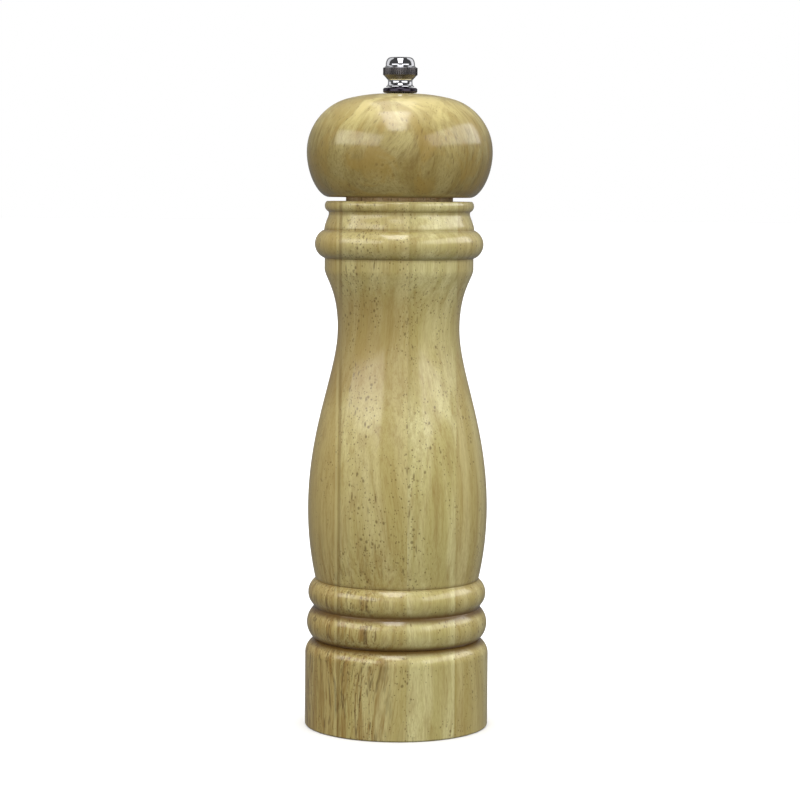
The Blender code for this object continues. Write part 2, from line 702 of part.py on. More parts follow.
def retainer_bar():
    """Bar across the recess: holds the stator up and steadies the shaft's lower end."""
    end = math.asin(BAR_W / 2 / FLANGE_R)
    outline = []
    for middle in (0, math.pi):
        for i in range(5):
            angle = middle + end * (i / 2 - 1)
            outline.append((FLANGE_R * math.cos(angle), FLANGE_R * math.sin(angle)))
    bar = plate("retainer_bar", outline, 0, BAR_T, BAR_Z)
    bright_steel(bar)
    drill(bar, JOURNAL_R + FIT, -1, BAR_T + 1, segments=METAL_SEGMENTS)
    for side in (1, -1):
        drill(bar, SCREW_HOLE_R, -1, BAR_T + 1, x=side * SCREW_X)
    return bar


def rotor_washer():
    """Washer between the rotor and its clip."""
    bottom = CUP_TOP_Z - FIT - WASHER_T
    ring_washer = washer("rotor_washer", JOURNAL_R + FIT, CUP_R - CHAMFER, WASHER_T, bottom)
    bright_steel(ring_washer)
    return ring_washer


def rotor_clip():
    """E-clip in the shaft's groove: three prongs grip it, with relief between them."""
    grip, relief = GROOVE_R + FIT, GROOVE_R + CLIP_RELIEF
    outline = [polar(CLIP_R, angle) for angle in range(CLIP_MOUTH, 361 - CLIP_MOUTH, 29)]
    for start, stop in ((360 - CLIP_MOUTH, 290), (200, 160), (70, CLIP_MOUTH)):
        outline += [polar(grip, start), polar(grip, (start + stop) / 2), polar(grip, stop)]
        if stop > CLIP_MOUTH:
            outline += [polar(relief, stop - turn) for turn in (8, 45, 82)]
    clip = plate("rotor_clip", outline, 0, CLIP_T, CLIP_Z)
    hard_steel(clip)
    return clip


def knob_disc():
    """Loose disc between the wooden crown and the knob."""
    edge = 0.3
    outline = [(KNOB_BORE_R, 0), (DISC_R - edge, 0), (DISC_R, edge), (DISC_R, DISC_T - edge)]
    outline += [(DISC_R - edge, DISC_T), (KNOB_BORE_R, DISC_T)]
    disc = turned("knob_disc", outline, WOOD_SEGMENTS, DISC_Z)
    chrome(disc)
    return disc


def adjusting_knob():
    """Waisted knob with a knurled band, threaded inside from its foot."""
    columns = 2 * KNURLS
    bore_top = KNOB_H - KNOB_ROOF
    profile = [(KNOB_BORE_R, bore_top), (KNOB_BORE_R, CHAMFER), (KNOB_BORE_R + 0.3, 0)]
    profile += [(KNOB_FOOT_R, 0), (KNOB_FOOT_R, 0.2)]
    neck = (KNOB_NECK_R, KNOB_NECK_H - 0.9)
    profile += bezier((KNOB_FOOT_R, 0.2), (KNOB_FOOT_R - 0.35, 0.4), (KNOB_NECK_R, 0.7), neck, 2)
    profile += [(KNOB_NECK_R + 0.05, KNOB_NECK_H), (KNOB_R - 0.3, KNOB_BAND_LOW - 0.2)]
    rings = [ring([radius] * columns, height) for radius, height in profile]
    knurled = [KNOB_R, KNOB_R - KNURL_DEPTH] * KNURLS
    rings += [ring(knurled, KNOB_BAND_LOW), ring(knurled, KNOB_BAND_HIGH)]
    shoulder = (KNOB_BUTTON_R, KNOB_BAND_HIGH + 0.6)
    button = [(KNOB_R - 0.4, KNOB_BAND_HIGH + 0.2), shoulder]
    crown = (KNOB_TOP_R, KNOB_H)
    button += bezier(shoulder, (KNOB_BUTTON_R, KNOB_H - 0.8), (KNOB_TOP_R + 0.9, KNOB_H), crown, 5)
    rings += [ring([radius] * columns, height) for radius, height in button]
    knob = lofted("adjusting_knob", rings, False, KNOB_Z)
    chrome(knob)
    return knob


def frame(name, pieces, parent=None):
    """Empty on the mill's axis that carries the pieces of one moving body."""
    empty = bpy.data.objects.new(name, None)
    bpy.context.scene.collection.objects.link(empty)
    empty.parent = parent
    for piece in pieces:
        piece.parent = empty
    return empty


def build():
    for obj in list(bpy.data.objects):
        bpy.data.objects.remove(obj)
    fixed = [body_shell(), stator_burr(), shaft_bridge(), retainer_bar()] + retainer_screws()
    body = frame("body_frame", fixed)
    thrust = frame("thrust_frame", [thrust_washer(), compression_spring()], body)
    frame("spindle_frame", [drive_shaft(), rotor_burr(), rotor_clip(), rotor_washer()], thrust)
    head_body = frame("head_frame", [head(), drive_plate()] + drive_plate_screws(), thrust)
    disc_body = frame("disc_frame", [knob_disc()], head_body)
    frame("knob_frame", [adjusting_knob()], disc_body)


build()
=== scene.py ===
"""Looks of the pepper mill: finely turned wood with a lacquered grain, polished knob and steel works.

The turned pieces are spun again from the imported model's own section, with smooth curves and small
rounded edges. Lengths in the helper functions are millimetres, as in the part, and MM makes them metres.
"""

import math

import bmesh
import bpy
from mathutils import Matrix, Vector


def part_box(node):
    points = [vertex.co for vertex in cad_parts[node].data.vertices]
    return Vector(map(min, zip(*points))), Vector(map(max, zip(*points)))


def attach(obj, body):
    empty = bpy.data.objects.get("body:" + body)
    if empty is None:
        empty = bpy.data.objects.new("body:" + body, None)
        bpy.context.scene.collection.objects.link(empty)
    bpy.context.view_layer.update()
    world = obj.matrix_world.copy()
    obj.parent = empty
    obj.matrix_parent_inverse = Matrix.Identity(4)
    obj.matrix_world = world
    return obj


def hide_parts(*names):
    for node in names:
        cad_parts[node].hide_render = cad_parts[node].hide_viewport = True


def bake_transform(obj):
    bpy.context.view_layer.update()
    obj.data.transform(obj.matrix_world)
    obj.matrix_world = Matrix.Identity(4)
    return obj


MM = 0.001
ON_PLANE = 2e-6  # metres; a point nearer to a plane than this lies on it
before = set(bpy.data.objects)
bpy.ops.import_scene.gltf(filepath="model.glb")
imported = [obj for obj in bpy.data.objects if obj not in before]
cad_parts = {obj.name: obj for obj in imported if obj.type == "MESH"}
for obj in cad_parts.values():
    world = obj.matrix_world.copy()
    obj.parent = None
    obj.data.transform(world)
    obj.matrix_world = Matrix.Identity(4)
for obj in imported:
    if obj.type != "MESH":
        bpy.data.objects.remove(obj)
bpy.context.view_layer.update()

# The view: a long lens a little above the mill's shoulder, tipped down at it.
LENS_MM = 113.04
SENSOR_MM = 36.0
CAMERA_DISTANCE = 769.7
CAMERA_HEIGHT = 165.3
CAMERA_PITCH = 4.8
CAMERA_ROLL = 0.39
CAMERA_YAW = -0.043

# The floor, its own lamp, and the dim room that the mill stands in.
FLOOR_HALF = 12.0
FLOOR_ALBEDO = 0.8
FLOOR_LAMP = 5.5
ROOM_DIM = 0.06
WALL_GLOW = 0.2
FLOOR_GLOW = 0.18

# Softboxes, in metres. FILLS light the wood and show in no reflection: name, place, size, radiance.
FILL_AIM = (0, 0, 0.10)
FILLS = (
    ("key_card", (0.20, -1.0, 0.62), (1.5, 0.6), 4.1),
    ("top_card", (0.0, 0.05, 1.05), (1.0, 1.0), 2.9),
    ("left_fill", (-0.95, -1.0, 0.25), (0.5, 0.6), 2.6),
    ("left_side", (-1.15, 0.18, 0.60), (0.8, 0.8), 3.0),
    ("right_side", (1.15, 0.18, 0.60), (0.8, 0.8), 2.7),
    ("back_card", (0.0, 1.2, 0.60), (1.2, 0.8), 3.6),
)
# The same for the head alone, with its aim: it reaches the underside.
LOW_CARD = ("low_card", (0, -0.9, 0.165), (0, 0, 0.162), (1.4, 0.12), 6.0)
# Panels that the lacquer mirrors: name, place, aim, size, radiance, and whether they light the wood too.
PANELS = (
    ("left_panel", (-0.60, -0.42, 0.49), (0, -0.06, 0.17), (0.92, 0.34), 3.5, False),
    ("right_panel", (0.60, -0.13, 0.47), (0, -0.04, 0.17), (1.15, 0.34), 3.0, False),
    ("overhead_strip", (-0.05, -0.36, 0.85), (-0.05, -0.30, 0.2), (0.30, 0.68), 7.0, False),
    ("back_strip", (-0.05, 0.22, 0.85), (-0.05, 0.18, 0.2), (0.30, 0.48), 1.6, True),
)
# Cards that only the knob reflects: azimuth from the camera, elevation, width, height, radiance.
KNOB_AIM = Vector((0, 0, 0.2))
KNOB_CARD_DISTANCE = 0.7
KNOB_CARDS = (
    (0, 50, 0.44, 0.90, 2.6),
    (-42, 3, 0.75, 0.20, 1.3),
    (42, 3, 0.75, 0.20, 1.3),
    (-116, 30, 0.45, 0.75, 0.6),
    (116, 30, 0.45, 0.75, 0.75),
)

# The staves that the body's blank is glued from: planes of constant x, how strongly each joint shows,
# and how brown each stave is.
SEAMS = (-17.8, 3.0, 17.6)
GLUE_LINES = (0.55, 0.14, 0.1)
STAVE_TONES = (0.75, 0.34, 0.06, 0.42)
# Where a glue line lies beside its seam, and the pale edge before it; their inner and outer half widths.
GLUE_OFFSET, GLUE_WIDTHS = 0.3, (0.1, 0.7)
EDGE_OFFSET, EDGE_WIDTHS = -0.6, (0.15, 0.6)

# Layers with many vessels, as planes of constant x: middle and half width.
PORE_LAYERS = ((-10.5, 6.5), (3.6, 2.6))
# Each set of pores: cells per millimetre, the share of chance it takes to keep one, its own stretch.
PORE_SETS = ((0.6, 0.64, 1.0), (0.95, 0.44, 1.0), (1.4, 0.42, 1.0), (0.8, 0.75, 0.25))

# Where the figure of the body changes, and where the waist darkens with its own tone and painted shade, from
# none to full: heights, and places across the front.
FOOT_Z, FOOT_X = (70, 26), (4, -10)
WAIST_RISE, WAIST_FALL, WAIST_X = (96, 108), (138, 130), (14, -16)
# The same for the head's painted shade on its underside and painted light on its crown, and how far its grain
# leans, in degrees.
HEAD_SHADE_Z = (184, 170)
LIT_CROWN_Z = (181, 190)
HEAD_LEAN = -12

# Painted shade in the grooves, darkest in the low ones: depth of colour and reach.
DEEP_SHADE_BELOW = 40
DEEP_GROOVE_SHADE, FAINT_GROOVE_SHADE = (0.95, 2.1), (0.3, 1.0)
GROOVE_TURN = -0.4  # sine of the least bend at an inside corner
LEDGE = 1.5  # how far inside the outer surface a groove's corner may lie

# The knob's knurling.
KNURL_DEPTH = 0.16
KNURL_TEETH = 56

# Radii within which the chamber, the lip and the tenon are bare, and the height of tenon below the ball.
CHAMBER_REACH = 18.0
LIP_REACH = 22
TENON_REACH = 17
TENON_SHOWS = 10


# ---------------------------------------------------------------- turned meshes


def section_of(node, quarter):
    """The CAD node's outline, as (radius, height) in mm, where it meets one of the four axis directions."""
    angle = quarter * math.pi / 2
    along = Vector((round(math.cos(angle)), round(math.sin(angle)), 0))
    across = along.cross(Vector((0, 0, 1)))
    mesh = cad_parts[node].data
    near = {}
    for vert in mesh.vertices:
        if abs(vert.co.dot(across)) < ON_PLANE and vert.co.dot(along) > -ON_PLANE:
            near[vert.index] = (round(vert.co.dot(along) / MM, 4), round(vert.co.z / MM, 4))
    joined = {}
    for edge in mesh.edges:
        ends = [near.get(i) for i in edge.vertices]
        if None not in ends and ends[0] != ends[1]:
            joined.setdefault(ends[0], set()).add(ends[1])
            joined.setdefault(ends[1], set()).add(ends[0])
    return walk_loop(joined)


def walk_loop(joined):
    """Order an outline from the neighbours of each point.

    One that ends at flat caps is closed along the axis.
    """
    ends = sorted(point for point, others in joined.items() if len(others) == 1)
    start = ends[0] if ends else min(joined, key=lambda p: (p[1], p[0]))
    loop, last = [start], None
    while True:
        onward = [point for point in joined[loop[-1]] if point != last]
        if not onward:
            return [(0.0, loop[0][1]), *loop, (0.0, loop[-1][1])]
        if onward[0] == start:
            return loop
        last = loop[-1]
        loop.append(onward[0])


def unit(a, b):
    """Direction from a to b."""
    length = math.dist(a, b) or 1.0
    return ((b[0] - a[0]) / length, (b[1] - a[1]) / length)


def bend_at(before, here, after):
    """Turn of the outline at a point, in degrees."""
    u, v = unit(before, here), unit(here, after)
    return math.degrees(math.acos(max(-1.0, min(1.0, u[0] * v[0] + u[1] * v[1]))))


LONG_RUN = 2.6  # a straight run is one this many times longer than the next


def tangent_at(before, here, after):
    """Direction of the circle through three points, or of a long straight run that ends there."""
    into, out = math.dist(before, here), math.dist(here, after)
    if into > LONG_RUN * out:
        return unit(before, here)
    if out > LONG_RUN * into:
        return unit(here, after)
    u, v = unit(before, here), unit(here, after)
    return unit((0, 0), (u[0] * out + v[0] * into, u[1] * out + v[1] * into))


def smooth_loop(loop, corner, step):
    """Run a smooth curve through the outline's points, at most step mm a piece, keeping its corners sharp."""
    count = len(loop)
    bends = [bend_at(loop[i - 1], loop[i], loop[(i + 1) % count]) for i in range(count)]
    smooth = []
    for i in range(count):
        a, b = loop[i], loop[(i + 1) % count]
        length = math.dist(a, b)
        before, after = loop[i - 1], loop[(i + 2) % count]
        sharp_a, sharp_b = bends[i] > corner, bends[(i + 1) % count] > corner
        straight = unit(a, b)
        start = straight if sharp_a else tangent_at(before, a, b)
        end = straight if sharp_b else tangent_at(a, b, after)
        if sharp_a and not sharp_b:
            start = mirrored(straight, end)
        if sharp_b and not sharp_a:
            end = mirrored(straight, start)
        flat = start == straight and end == straight
        pieces = 1 if flat else max(2, round(length / step))
        for k in range(pieces):
            smooth.append(hermite(a, b, start, end, length, k / pieces))
    return smooth


def mirrored(straight, other):
    """The end tangent that makes a circular arc with the other end's tangent."""
    dot = straight[0] * other[0] + straight[1] * other[1]
    return (2 * dot * straight[0] - other[0], 2 * dot * straight[1] - other[1])


def hermite(a, b, start, end, length, t):
    """Point at t, from 0 to 1, on the curve from a to b with these end directions."""
    h = (2 * t**3 - 3 * t**2 + 1, t**3 - 2 * t**2 + t, 3 * t**2 - 2 * t**3, t**3 - t**2)
    return tuple(
        h[0] * a[k] + h[1] * length * start[k] + h[2] * b[k] + h[3] * length * end[k]
        for k in (0, 1)
    )


def new_object(name, bm):
    """Turn a mesh in millimetres into an object in metres, smooth but for its sharp corners."""
    bmesh.ops.recalc_face_normals(bm, faces=bm.faces)
    bmesh.ops.scale(bm, vec=Vector((MM, MM, MM)), verts=bm.verts)
    mesh = bpy.data.meshes.new(name)
    bm.to_mesh(mesh)
    bm.free()
    mesh.shade_smooth()
    mesh.set_sharp_from_angle(angle=math.radians(40))
    obj = bpy.data.objects.new(name, mesh)
    bpy.context.scene.collection.objects.link(obj)
    return obj


def spin_loop(name, loop, segments, radius_at=None):
    """Spin an outline round the axis; radius_at may change a point's radius with its angle."""
    bm = bmesh.new()
    rings = []
    for i in range(segments):
        angle = math.tau * i / segments
        ring = []
        for radius, height in loop:
            r = radius_at(radius, height, angle) if radius_at else radius
            ring.append(bm.verts.new((r * math.cos(angle), r * math.sin(angle), height)))
        rings.append(ring)
    for i, ring in enumerate(rings):
        onward = rings[(i + 1) % segments]
        for j in range(len(loop)):
            k = (j + 1) % len(loop)
            bm.faces.new((ring[j], ring[k], onward[k], onward[j]))
    bmesh.ops.remove_doubles(bm, verts=bm.verts, dist=1e-4)
    return new_object(name, bm)


def soften_edges(obj, width):
    """Round the corners a little, as sanding or plating does."""
    bevel = obj.modifiers.new("soft_edges", "BEVEL")
    bevel.width = width * MM
    bevel.segments = 3
    bevel.limit_method = "ANGLE"
    bevel.angle_limit = math.radians(32)
    bevel.harden_normals = False


# ---------------------------------------------------------------- shader helpers


class Shader:
    """A Principled material under construction, with short calls for its nodes."""

    def __init__(self, name, **inputs):
        self.material = bpy.data.materials.new(name)
        self.material.use_nodes = True
        self.tree = self.material.node_tree
        self.surface = self.tree.nodes["Principled BSDF"]
        for key, value in inputs.items():
            self.surface.inputs[key.replace("_", " ")].default_value = value

    def node(self, kind, settings=None, **links):
        """A new node with these settings, each link fed to the input of its name."""
        made = self.tree.nodes.new(kind)
        for key, value in (settings or {}).items():
            setattr(made, key, value)
        for key, value in links.items():
            self.feed(made.inputs[key.replace("_", " ")], value)
        return made

    def feed(self, socket, value):
        """Link the socket to another node's, or set its value."""
        if isinstance(value, bpy.types.NodeSocket):
            self.tree.links.new(value, socket)
        else:
            socket.default_value = value

    def math(self, operation, a, b=0.0):
        made = self.tree.nodes.new("ShaderNodeMath")
        made.operation = operation
        self.feed(made.inputs[0], a)
        self.feed(made.inputs[1], b)
        return made.outputs[0]

    def vector(self, operation, a, b):
        made = self.tree.nodes.new("ShaderNodeVectorMath")
        made.operation = operation
        self.feed(made.inputs[0], a)
        self.feed(made.inputs[1], b)
        return made.outputs["Vector"]

    def position(self):
        """The point on the object, in millimetres of the part's own frame."""
        coords = self.tree.nodes.new("ShaderNodeTexCoord")
        return self.vector("MULTIPLY", coords.outputs["Object"], (1000, 1000, 1000))

    def noise(self, vector, detail, roughness, distortion=0.0):
        """Noise with blobs about a unit across."""
        made = self.node("ShaderNodeTexNoise", None, Vector=vector)
        made.inputs["Scale"].default_value = 1.0
        made.inputs["Detail"].default_value = detail
        made.inputs["Roughness"].default_value = roughness
        made.inputs["Distortion"].default_value = distortion
        return made.outputs["Fac"]

    def cells(self, vector):
        """Distance to the nearest scattered point, and that point's own random value."""
        made = self.node("ShaderNodeTexVoronoi", None, Vector=vector)
        made.inputs["Scale"].default_value = 1.0
        return made.outputs["Distance"], made.outputs["Color"]

    def ramp(self, value, low, high, start=0.0, end=1.0):
        """A smooth step from start to end as value runs from low to high."""
        made = self.node("ShaderNodeMapRange", {"interpolation_type": "SMOOTHSTEP"}, Value=value)
        made.inputs["From Min"].default_value = low
        made.inputs["From Max"].default_value = high
        made.inputs["To Min"].default_value = start
        made.inputs["To Max"].default_value = end
        return made.outputs["Result"]

    def mix(self, amount, a, b):
        """The colour a, turned into b by amount."""
        made = self.tree.nodes.new("ShaderNodeMix")
        made.data_type = "RGBA"
        # The node has sockets for each data type, under the same names: these are the colours'.
        self.feed(made.inputs[0], amount)
        self.feed(made.inputs[6], a)
        self.feed(made.inputs[7], b)
        return made.outputs[2]

    def bump(self, height, distance, strength):
        """Relief of the given depth in millimetres."""
        made = self.node("ShaderNodeBump", None, Height=height)
        made.inputs["Distance"].default_value = distance * MM
        made.inputs["Strength"].default_value = strength
        self.feed(self.surface.inputs["Normal"], made.outputs["Normal"])


def colour(red, green, blue):
    """A colour given as sRGB values from 0 to 255."""
    return (*(linear(channel / 255) for channel in (red, green, blue)), 1.0)


def linear(channel):
    """An sRGB channel from 0 to 1, made linear."""
    return channel / 12.92 if channel <= 0.04045 else ((channel + 0.055) / 1.055) ** 2.4


BODY_WOOD = {
    "pale": colour(218, 211, 152),
    "olive": colour(189, 178, 113),
    "brown": colour(146, 116, 57),
}
HEAD_WOOD = {
    "pale": colour(166, 154, 98),
    "olive": colour(142, 126, 70),
    "brown": colour(104, 83, 36),
}
BARE_WOOD = {
    "pale": colour(206, 184, 142),
    "olive": colour(190, 164, 118),
    "brown": colour(150, 112, 70),
}
WARM = colour(176, 151, 84)
# A paler colour for the painted light on the head's crown.
CROWN_LIGHT = colour(206, 190, 128)
GOLD = colour(138, 114, 52)
VESSEL = colour(92, 70, 32)
# Colour of the painted shade in the turned grooves.
GROOVE_SHADE = colour(100, 72, 26)


# ---------------------------------------------------------------- wood


def staves(s, x):
    """The number of the stave that x is in, how brown it is, the line of glue and the pale edge beside it.

    Both lines fade where the surface faces along x, so that a seam doesn't spread over it.
    """
    number, tone, glue, edge = 0.0, STAVE_TONES[0], 0.0, 0.0
    geometry = s.node("ShaderNodeNewGeometry")
    normal = s.node("ShaderNodeSeparateXYZ", None, Vector=geometry.outputs["Normal"])
    crossing = s.ramp(s.math("ABSOLUTE", normal.outputs["X"]), 0.97, 0.80)
    for seam, line, before, after in zip(SEAMS, GLUE_LINES, STAVE_TONES, STAVE_TONES[1:]):
        number = s.math("ADD", number, s.math("GREATER_THAN", x, seam))
        change = s.math("MULTIPLY", s.ramp(x, seam - 0.1, seam + 0.1), after - before)
        tone = s.math("ADD", tone, change)
        glue = s.math("ADD", glue, stripe(s, x, seam + GLUE_OFFSET, GLUE_WIDTHS, line))
        edge = s.math("ADD", edge, stripe(s, x, seam + EDGE_OFFSET, EDGE_WIDTHS, 0.5 * line))
    return number, tone, s.math("MULTIPLY", glue, crossing), s.math("MULTIPLY", edge, crossing)


def stripe(s, value, middle, widths, strength):
    """A line where value is near middle, which fades between the two half widths."""
    beside = s.math("ABSOLUTE", s.math("SUBTRACT", value, middle))
    return s.ramp(beside, *widths, strength, 0.0)


def pores(s, grain, where, length):
    """Short dark vessel lines along the grain, thick where the mask is high: sets from coarse to fine."""
    marks = 0.0
    for scale, kept, stretch in PORE_SETS:
        density = (scale, scale, scale * length * stretch)
        distance, random = s.cells(s.vector("MULTIPLY", grain, density))
        chance = s.node("ShaderNodeSeparateColor", None, Color=random).outputs["Red"]
        chosen = s.math("GREATER_THAN", s.math("MULTIPLY", chance, where), kept)
        size = s.ramp(distance, 0.12, 0.30, 1.0, 0.0)
        marks = s.math("MAXIMUM", marks, s.math("MULTIPLY", size, chosen))
    return marks


def wood_base(s, grain, tints, fibre, contrast, warmth=0.0):
    """Growth bands, streaks, fibres and fine flecks, stretched along the grain by 1 / fibre.

    Contrast sets how dark the streaks and fibres are, and warmth how brown the ground is.
    """
    bands = s.noise(s.vector("MULTIPLY", grain, (0.16, 0.16, 0.16 * fibre)), 3.0, 0.55)
    streaks = s.noise(s.vector("MULTIPLY", grain, (0.55, 0.55, 0.6 * fibre)), 3.0, 0.6)
    fibres = s.noise(s.vector("MULTIPLY", grain, (1.7, 1.7, 1.9 * fibre)), 4.0, 0.65)
    flecks = s.noise(s.vector("MULTIPLY", grain, (4.5, 4.5, 9.0 * fibre)), 2.0, 0.5)
    base = s.mix(s.ramp(bands, 0.36, 0.64), tints["pale"], tints["olive"])
    base = s.mix(warmth, base, WARM)
    dark_streaks = s.math("MULTIPLY", contrast, s.ramp(streaks, 0.45, 0.70, 0.0, 0.8))
    base = s.mix(dark_streaks, base, tints["brown"])
    dark_fibres = s.math("MULTIPLY", contrast, s.ramp(fibres, 0.44, 0.72, 0.0, 0.75))
    base = s.mix(dark_fibres, base, tints["brown"])
    return s.mix(s.ramp(flecks, 0.42, 0.75, 0.0, 0.32), base, tints["brown"]), fibres


def swayed(s, point, amount):
    """Bend the grain slowly, so that it wanders as it climbs."""
    slow = s.vector("MULTIPLY", point, (0.035, 0.035, 0.016))
    sway = s.node("ShaderNodeTexNoise", None, Vector=slow)
    sway.inputs["Scale"].default_value = 1.0
    sway.inputs["Detail"].default_value = 1.5
    centred = s.vector("SUBTRACT", sway.outputs["Color"], (0.5, 0.5, 0.5))
    return s.vector("ADD", point, s.vector("MULTIPLY", centred, amount))


def lacquered(s, base, fibres, marks):
    """Close the wood with a semi-gloss lacquer that sinks a little into the vessels."""
    s.feed(s.surface.inputs["Base Color"], base)
    s.feed(s.surface.inputs["Roughness"], s.ramp(fibres, 0.3, 0.7, 0.40, 0.52))
    relief = s.math("SUBTRACT", s.math("MULTIPLY", fibres, 0.12), s.math("MULTIPLY", marks, 0.5))
    s.bump(relief, 0.05, 0.5)
    return s.material


def wood_shader(name):
    """Wood under a coat of semi-gloss lacquer."""
    return Shader(
        name, Specular_IOR_Level=0.25, Coat_Weight=0.85, Coat_Roughness=0.16, Coat_IOR=1.5
    )


def body_wood(grooves):
    """Pale olive wood in four staves, their vessels gathered in layers, browner towards the lower left."""
    s = wood_shader("body_wood")
    point = s.position()
    parts = s.node("ShaderNodeSeparateXYZ", None, Vector=point).outputs
    number, tone, glue, edge = staves(s, parts["X"])
    step = s.node("ShaderNodeCombineXYZ", None, X=number, Y=number, Z=number).outputs[0]
    own_figure = s.vector("ADD", point, s.vector("MULTIPLY", step, (31, 17, 53)))
    grain = swayed(s, own_figure, (14, 14, 0))
    foot = s.math("MULTIPLY", s.ramp(parts["Z"], *FOOT_Z), s.ramp(parts["X"], *FOOT_X))
    contrast = s.math("ADD", 0.42, s.math("MULTIPLY", foot, 0.9))
    base, fibres = wood_base(s, grain, BODY_WOOD, 0.05, contrast, tone)
    # The waist darker and browner to the left: the wood's own tone, and painted shade under the collar.
    base = s.mix(waist_tone_and_shade(s, parts), base, BODY_WOOD["brown"])
    veins = s.noise(s.vector("MULTIPLY", grain, (0.8, 0.8, 0.07)), 3.0, 0.65)
    base = s.mix(s.math("MULTIPLY", foot, s.ramp(veins, 0.53, 0.66, 0.0, 0.75)), base, VESSEL)
    marks = pores(s, grain, pore_places(s, grain, parts["X"]), 0.7)
    base = s.mix(s.math("MULTIPLY", marks, 0.62), base, VESSEL)
    base = s.mix(edge, base, BODY_WOOD["pale"])
    base = s.mix(glue, base, s.mix(0.5, BODY_WOOD["brown"], VESSEL))
    # Painted shade in the turned grooves, darkest in the low ones.
    base = painted_groove_shade(s, base, parts["Z"], grooves)
    return lacquered(s, base, fibres, marks)


def waist_tone_and_shade(s, parts):
    """A browner waist, most of all on its left: partly the wood's own tone, partly painted shade under the
    collar.
    """
    waist = s.math("MULTIPLY", s.ramp(parts["Z"], *WAIST_RISE), s.ramp(parts["Z"], *WAIST_FALL))
    return s.math("MULTIPLY", waist, s.ramp(parts["X"], *WAIST_X, 0.15, 0.5))


def pore_places(s, grain, x):
    """Where vessels are many: in patches, and in the layers."""
    patches = s.noise(s.vector("MULTIPLY", grain, (0.16, 0.16, 0.045)), 2.0, 0.5)
    where = s.ramp(patches, 0.38, 0.56, 0.45, 1.5)
    layers = 0.5
    for middle, half in PORE_LAYERS:
        beside = s.math("ABSOLUTE", s.math("SUBTRACT", x, middle))
        layers = s.math("MAXIMUM", layers, s.ramp(beside, 0.5 * half, half, 1.0, 0.5))
    return s.math("MULTIPLY", where, layers)


def painted_groove_shade(s, base, z, grooves):
    """Painted shade in the turned grooves, whose heights are given."""
    dark = 0.0
    for height in grooves:
        depth, reach = DEEP_GROOVE_SHADE if height < DEEP_SHADE_BELOW else FAINT_GROOVE_SHADE
        dark = s.math("MAXIMUM", dark, stripe(s, z, height, (0.2, reach), depth))
    return s.mix(dark, base, GROOVE_SHADE)


def grooves_of(loop):
    """Heights of the sharp inside corners on the outside of a turned outline."""
    heights = []
    for i, here in enumerate(loop):
        u, v = unit(loop[i - 1], here), unit(here, loop[(i + 1) % len(loop)])
        turn = (u[0] * v[1] - u[1] * v[0]) * winding(loop)
        if turn < GROOVE_TURN and here[0] > outer_radius(loop, here[1]) - LEDGE:
            heights.append(here[1])
    return heights


def outer_radius(loop, height):
    """The largest radius of a closed outline at this height."""
    largest = 0.0
    for a, b in zip(loop, loop[1:] + loop[:1]):
        if a[1] != b[1] and min(a[1], b[1]) <= height <= max(a[1], b[1]):
            share = (height - a[1]) / (b[1] - a[1])
            largest = max(largest, a[0] + (b[0] - a[0]) * share)
    return largest


def winding(loop):
    """1 if the outline runs counter-clockwise, -1 if not."""
    area = sum(a[0] * b[1] - b[0] * a[1] for a, b in zip(loop, loop[1:] + loop[:1]))
    return math.copysign(1, area)


def head_wood():
    """The head's own blank: warmer, with short leaning streaks and a swirl, painted light on its crown and
    painted shade below.
    """
    s = wood_shader("head_wood")
    lean = s.node("ShaderNodeVectorRotate", {"rotation_type": "Y_AXIS"}, Vector=s.position())
    lean.inputs["Angle"].default_value = math.radians(HEAD_LEAN)
    grain = swayed(s, lean.outputs["Vector"], (34, 20, 6))
    base, fibres = wood_base(s, grain, HEAD_WOOD, 0.14, 0.62)
    height = s.node("ShaderNodeSeparateXYZ", None, Vector=s.position()).outputs["Z"]
    # Painted shade: the underside darker by height, partly the wood's browner figure there.
    base = s.mix(s.ramp(height, *HEAD_SHADE_Z, 0.0, 0.35), base, HEAD_WOOD["brown"])
    swirls = s.noise(s.vector("MULTIPLY", grain, (0.07, 0.07, 0.04)), 4.0, 0.6, 1.4)
    base = s.mix(s.ramp(swirls, 0.46, 0.62, 0.0, 0.65), base, GOLD)
    # Painted light: the crown paler by height, as if lit from above.
    crown = s.ramp(height, *LIT_CROWN_Z, 0.0, 0.75)
    crown = s.math("MULTIPLY", crown, s.ramp(swirls, 0.40, 0.56, 1.0, 0.4))
    base = s.mix(crown, base, CROWN_LIGHT)
    marks = pores(s, grain, s.ramp(swirls, 0.35, 0.6, 0.45, 0.85), 0.2)
    base = s.mix(s.math("MULTIPLY", marks, 0.45), base, VESSEL)
    return lacquered(s, base, fibres, marks)


def turned_wood(name, node, body, slot, material, is_bare):
    """Fine turned copy of a wooden CAD node, with bare wood on the faces that is_bare picks."""
    outline = smooth_loop(section_of(node, 3), corner=30, step=0.45)
    piece = spin_loop(name, outline, 144)
    piece.data.materials.append(material)
    piece.data.materials.append(bare_wood(f"{slot}_bare"))
    for face in piece.data.polygons:
        radius = math.hypot(face.center.x, face.center.y) / MM
        face.material_index = int(is_bare(radius, face.center.z / MM, face.normal))
    soften_edges(piece, 0.18)
    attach(piece, body)
    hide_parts(node)
    return piece


def bare_wood(name):
    """Wood without lacquer, as in the chamber, on the base and round the tenon."""
    s = Shader(name, Specular_IOR_Level=0.2)
    grain = swayed(s, s.position(), (12, 12, 0))
    base, fibres = wood_base(s, grain, BARE_WOOD, 0.055, 0.4)
    marks = pores(s, grain, 0.8, 0.45)
    base = s.mix(s.math("MULTIPLY", marks, 0.6), base, VESSEL)
    s.feed(s.surface.inputs["Base Color"], base)
    s.feed(s.surface.inputs["Roughness"], s.ramp(fibres, 0.3, 0.7, 0.62, 0.8))
    s.bump(s.math("MULTIPLY", fibres, 0.4), 0.05, 0.6)
    return s.material


# ---------------------------------------------------------------- metal


